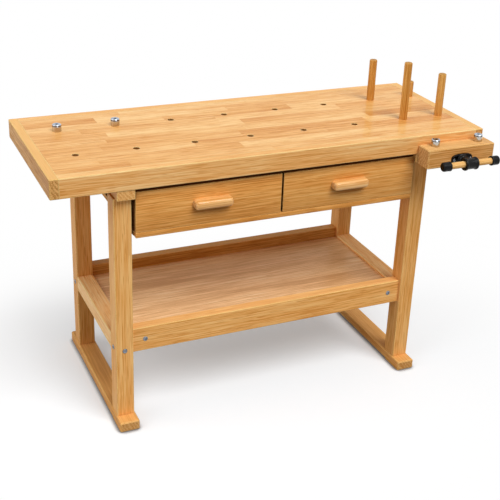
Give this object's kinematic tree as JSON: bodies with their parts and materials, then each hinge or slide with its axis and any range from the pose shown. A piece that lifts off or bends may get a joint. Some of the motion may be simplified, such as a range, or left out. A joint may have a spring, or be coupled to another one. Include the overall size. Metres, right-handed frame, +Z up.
{
  "type": "woodworking bench with a front vise",
  "caption": "Hardwood woodworking bench on trestle frames: a framed top with dog holes, pegs and steel dogs, a front vise, drawers under the top and a tray shelf.",
  "frame": {"origin": "on the floor, under the middle of the whole object's box (vise handle at the front, foot rails at the back, jaw end at the right)", "axes": "+X to the right along the top, +Y to the back, +Z up"},
  "size_m": [1.375, 0.6844, 1.014],
  "materials": {
    "top_wood": "satin lacquer, finger-jointed staves",
    "frame_wood": "satin lacquer",
    "drawer_wood": "satin lacquer",
    "shelf_wood": "satin lacquered panel",
    "pale_wood": "plain sanded",
    "black_iron": "black paint, satin",
    "black_cap": "moulded",
    "steel": "oiled",
    "chrome": "polished"
  },
  "bodies": {
    "bench": {"top_board": "top_wood", "front_apron": "top_wood", "back_apron": "top_wood", "left_end_cap": "top_wood", "right_end_cap": "top_wood", "front_left_leg": "frame_wood", "back_left_leg": "frame_wood", "front_right_leg": "frame_wood", "back_right_leg": "frame_wood", "left_foot_rail": "frame_wood", "right_foot_rail": "frame_wood", "left_top_bearer": "frame_wood", "right_top_bearer": "frame_wood", "left_shelf_rail": "frame_wood", "right_shelf_rail": "frame_wood", "front_shelf_rail": "frame_wood", "back_shelf_rail": "frame_wood", "shelf_panel": "shelf_wood", "front_shelf_cleat": "frame_wood", "back_shelf_cleat": "frame_wood", "case_bottom": "drawer_wood", "case_left_side": "drawer_wood", "case_right_side": "drawer_wood", "case_divider": "drawer_wood", "case_back": "drawer_wood", "vise_back_plate": "black_iron", "vise_nut": "steel"},
    "left_drawer": {"left_drawer_front": "drawer_wood", "left_drawer_left_side": "pale_wood", "left_drawer_right_side": "pale_wood", "left_drawer_back": "pale_wood", "left_drawer_bottom": "pale_wood", "left_drawer_pull": "frame_wood"},
    "right_drawer": {"right_drawer_front": "drawer_wood", "right_drawer_left_side": "pale_wood", "right_drawer_right_side": "pale_wood", "right_drawer_back": "pale_wood", "right_drawer_bottom": "pale_wood", "right_drawer_pull": "frame_wood"},
    "vise_jaw": {"vise_jaw": "top_wood", "vise_flange": "black_iron", "left_guide_rod": "steel", "right_guide_rod": "steel", "guide_rod_tie": "black_iron"},
    "vise_screw": {"vise_screw": "steel", "screw_collar": "steel", "screw_hub": "black_iron"},
    "vise_handle": {"handle_bar": "pale_wood", "handle_left_cap": "black_cap", "handle_right_cap": "black_cap"},
    "back_peg": {"back_peg": "pale_wood"},
    "front_peg": {"front_peg": "pale_wood"},
    "end_front_peg": {"end_front_peg": "pale_wood"},
    "end_back_peg": {"end_back_peg": "pale_wood"},
    "left_bench_dog": {"left_bench_dog": "chrome"},
    "second_bench_dog": {"second_bench_dog": "chrome"},
    "jaw_left_dog": {"jaw_left_dog": "chrome"},
    "jaw_right_dog": {"jaw_right_dog": "chrome"}
  },
  "joints": [
    {"name": "left_drawer_slide", "type": "slide", "parent": "bench", "child": "left_drawer", "axis": [0, -1, 0], "range_m": [0, 0.3]},
    {"name": "right_drawer_slide", "type": "slide", "parent": "bench", "child": "right_drawer", "axis": [0, -1, 0], "range_m": [0, 0.3]},
    {"name": "vise_jaw_slide", "type": "slide", "parent": "bench", "child": "vise_jaw", "axis": [0, -1, 0], "range_m": [0, 0.12]},
    {"name": "vise_screw_turn", "type": "hinge", "parent": "vise_jaw", "child": "vise_screw", "pos_m": [0.5675, -0.32225, 0.765], "axis": [0, -1, 0], "range_deg": [0, 7200]},
    {"name": "vise_handle_slide", "type": "slide", "parent": "vise_screw", "child": "vise_handle", "axis": [1, 0, 0], "range_m": [-0.0535, 0.0495]},
    {"name": "back_peg_lift", "type": "slide", "parent": "bench", "child": "back_peg", "axis": [0, 0, 1], "range_m": [0, 0.06]},
    {"name": "front_peg_lift", "type": "slide", "parent": "bench", "child": "front_peg", "axis": [0, 0, 1], "range_m": [0, 0.06]},
    {"name": "end_front_peg_lift", "type": "slide", "parent": "bench", "child": "end_front_peg", "axis": [0, 0, 1], "range_m": [0, 0.06]},
    {"name": "end_back_peg_lift", "type": "slide", "parent": "bench", "child": "end_back_peg", "axis": [0, 0, 1], "range_m": [0, 0.06]},
    {"name": "left_bench_dog_lift", "type": "slide", "parent": "bench", "child": "left_bench_dog", "axis": [0, 0, 1], "range_m": [0, 0.06]},
    {"name": "second_bench_dog_lift", "type": "slide", "parent": "bench", "child": "second_bench_dog", "axis": [0, 0, 1], "range_m": [0, 0.06]},
    {"name": "jaw_left_dog_lift", "type": "slide", "parent": "vise_jaw", "child": "jaw_left_dog", "axis": [0, 0, 1], "range_m": [0, 0.06]},
    {"name": "jaw_right_dog_lift", "type": "slide", "parent": "vise_jaw", "child": "jaw_right_dog", "axis": [0, 0, 1], "range_m": [0, 0.06]}
  ],
  "couplings": [
    {"joint": "vise_jaw_slide", "follows": "vise_screw_turn", "m_per_rad": 0.00095493}
  ]
}
